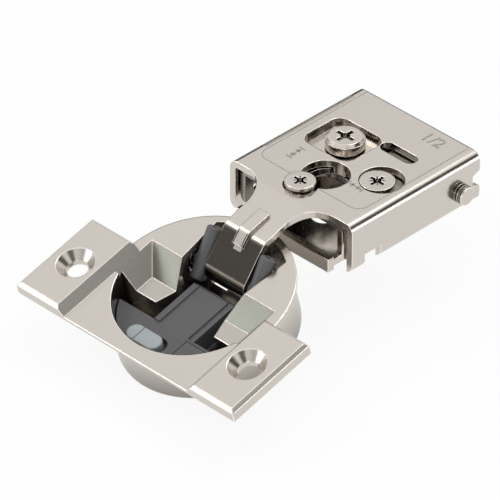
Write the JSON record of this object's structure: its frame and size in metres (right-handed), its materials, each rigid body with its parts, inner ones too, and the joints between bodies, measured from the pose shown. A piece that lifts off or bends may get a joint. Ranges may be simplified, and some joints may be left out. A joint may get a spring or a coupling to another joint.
{
  "type": "concealed cabinet hinge",
  "caption": "Concealed hinge for a framed cabinet: a drilled-in door cup with screw wings and a soft-close damper, and a short adjustable arm.",
  "frame": {"origin": "centre of the base plate's fixing hole, on the face that sits on the cabinet frame", "axes": "+X along the hinge axis, +Y from the door cup towards the back of the arm, +Z out of the cabinet frame's edge through the arm's top"},
  "size_m": [0.0568, 0.0779, 0.0257],
  "materials": {
    "cast_nickel": "nickel-plated zinc casting, satin-bright",
    "sheet_nickel": "nickel-plated folded steel sheet",
    "screw_nickel": "nickel-plated turned steel",
    "bright_steel": "bright drawn steel",
    "damper_grey": "dark grey moulded plastic",
    "switch_grey": "pale grey moulded plastic"
  },
  "bodies": {
    "base": {"base_plate": "sheet_nickel", "bridge_plate": "sheet_nickel", "clamp_nut": "bright_steel"},
    "slide": {"slide_plate": "sheet_nickel"},
    "height_cam": {"height_cam": "screw_nickel"},
    "clamp_screw": {"clamp_screw": "screw_nickel"},
    "arm": {"arm_channel": "sheet_nickel", "rear_pin": "screw_nickel", "knuckle_bush": "switch_grey"},
    "side_screw": {"side_screw": "screw_nickel"},
    "cup": {"door_cup": "cast_nickel", "axle": "bright_steel", "closing_spring_left": "bright_steel", "closing_spring_right": "bright_steel", "damper_tray": "damper_grey", "damper_housing": "damper_grey", "damper_cover": "damper_grey"},
    "levers": {"damper_lever_left": "damper_grey", "damper_lever_right": "damper_grey"},
    "switch": {"damper_switch": "switch_grey"}
  },
  "joints": [
    {"name": "door_swing", "type": "hinge", "parent": "arm", "child": "cup", "pos_m": [0, -0.0237, -0.0004], "axis": [-1, 0, 0], "range_deg": [0, 105]},
    {"name": "lever_rock", "type": "hinge", "parent": "cup", "child": "levers", "pos_m": [0, -0.0237, -0.0004], "axis": [1, 0, 0], "range_deg": [0, 21]},
    {"name": "switch_slide", "type": "slide", "parent": "cup", "child": "switch", "axis": [1, 0, 0], "range_m": [0, 0.0012]},
    {"name": "height_adjust", "type": "slide", "parent": "base", "child": "slide", "axis": [1, 0, 0], "range_m": [-0.0015, 0.0015]},
    {"name": "cam_turn", "type": "hinge", "parent": "slide", "child": "height_cam", "pos_m": [0.0086, 0.0054, 0.01115], "axis": [0, 0, 1], "range_deg": [-60.1, 60.1]},
    {"name": "side_adjust", "type": "hinge", "parent": "slide", "child": "arm", "pos_m": [0, 0.0204, 0.0046], "axis": [-1, 0, 0], "range_deg": [-0.5, 1.5]},
    {"name": "side_screw_turn", "type": "hinge", "parent": "arm", "child": "side_screw", "pos_m": [-0.0005, -0.0058, 0.01115], "axis": [0, 0, 1], "range_deg": [-83, 248]},
    {"name": "clamp_screw_turn", "type": "hinge", "parent": "base", "child": "clamp_screw", "pos_m": [-0.005, 0.0108, 0.01115], "axis": [0, 0, 1], "range_deg": [0, 180]}
  ],
  "couplings": [
    {"joint": "lever_rock", "follows": "door_swing", "ratio": 0.2},
    {"joint": "cam_turn", "follows": "height_adjust", "rad_per_m": 698.13},
    {"joint": "side_screw_turn", "follows": "side_adjust", "ratio": 164.62}
  ]
}
